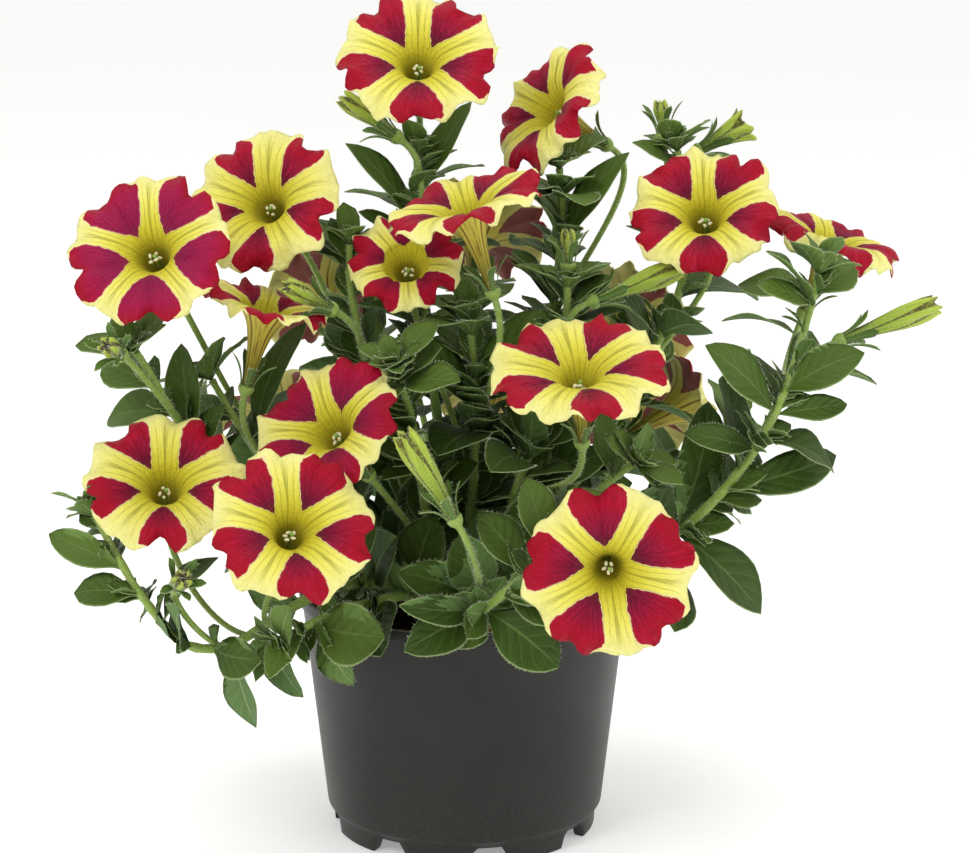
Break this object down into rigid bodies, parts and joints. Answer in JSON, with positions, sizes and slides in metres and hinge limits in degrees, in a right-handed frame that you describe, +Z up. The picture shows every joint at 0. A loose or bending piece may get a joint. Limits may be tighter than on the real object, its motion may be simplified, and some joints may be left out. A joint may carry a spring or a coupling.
{
  "type": "potted trailing petunia",
  "caption": "Potted trailing petunia: leafy stems with striped two-colour funnel blooms and buds, standing in soil in a round tapered nursery pot with a blank label stake.",
  "frame": {"origin": "centre of the pot's base, on the surface that it stands on", "axes": "+Z up along the pot's axis; the front of the plant, the side that the picture shows, faces -Y, and +X is to the right of that view"},
  "size_m": [0.3034, 0.2352, 0.3004],
  "materials": {
    "pot": "dark brown-grey moulded plastic, satin",
    "soil": "dark crumbly peat, matte",
    "label": "orange-yellow plastic, blank",
    "foliage": "green leaves and light green hairy stems, matte",
    "petal": "light yellow rays with crimson hearts, velvety",
    "bud": "yellow-green with dark stripes, matte"
  },
  "bodies": {
    "root": {"bloom_top_centre": "petal", "bloom_top_right": "petal", "bloom_left_upper": "petal", "bloom_left_back": "petal", "bloom_left_side": "petal", "bloom_centre_up": "petal", "bloom_centre_left": "petal", "bloom_right_upper": "petal", "bloom_right_back": "petal", "bloom_centre": "petal", "bloom_left_low": "petal", "bloom_front_low": "petal", "bloom_left_mid": "petal", "bloom_right_low": "petal", "bloom_back_high": "petal", "bloom_back_left_high": "petal", "bloom_back_right_high": "petal", "bloom_back_low": "petal", "bloom_back_left_low": "petal", "bloom_back_right_low": "petal", "bloom_right_side": "petal", "bud_top_left": "bud", "bud_half_open": "bud", "bud_upper_right": "bud", "bud_middle_right": "bud", "bud_middle_up": "bud", "bud_far_right": "bud", "bud_front_left": "bud", "bud_left_end": "bud", "bud_left_middle": "bud", "bud_left_low": "bud", "pot": "pot", "soil": "soil", "label": "label", "stem_left_trailer": "foliage", "stem_front_left": "foliage", "stem_left_out": "foliage", "stem_left_side": "foliage", "stem_left_upper": "foliage", "stem_centre_left": "foliage", "stem_centre_up": "foliage", "stem_centre": "foliage", "stem_front": "foliage", "stem_right_low": "foliage", "stem_right_trailer": "foliage", "stem_right_upper": "foliage", "stem_top_right": "foliage", "stem_top_centre": "foliage", "stem_back_top": "foliage", "stem_back_top_left": "foliage", "stem_back_top_right": "foliage", "stem_back_left": "foliage", "stem_back_mid": "foliage", "stem_back_right": "foliage"}
  },
  "joints": []
}
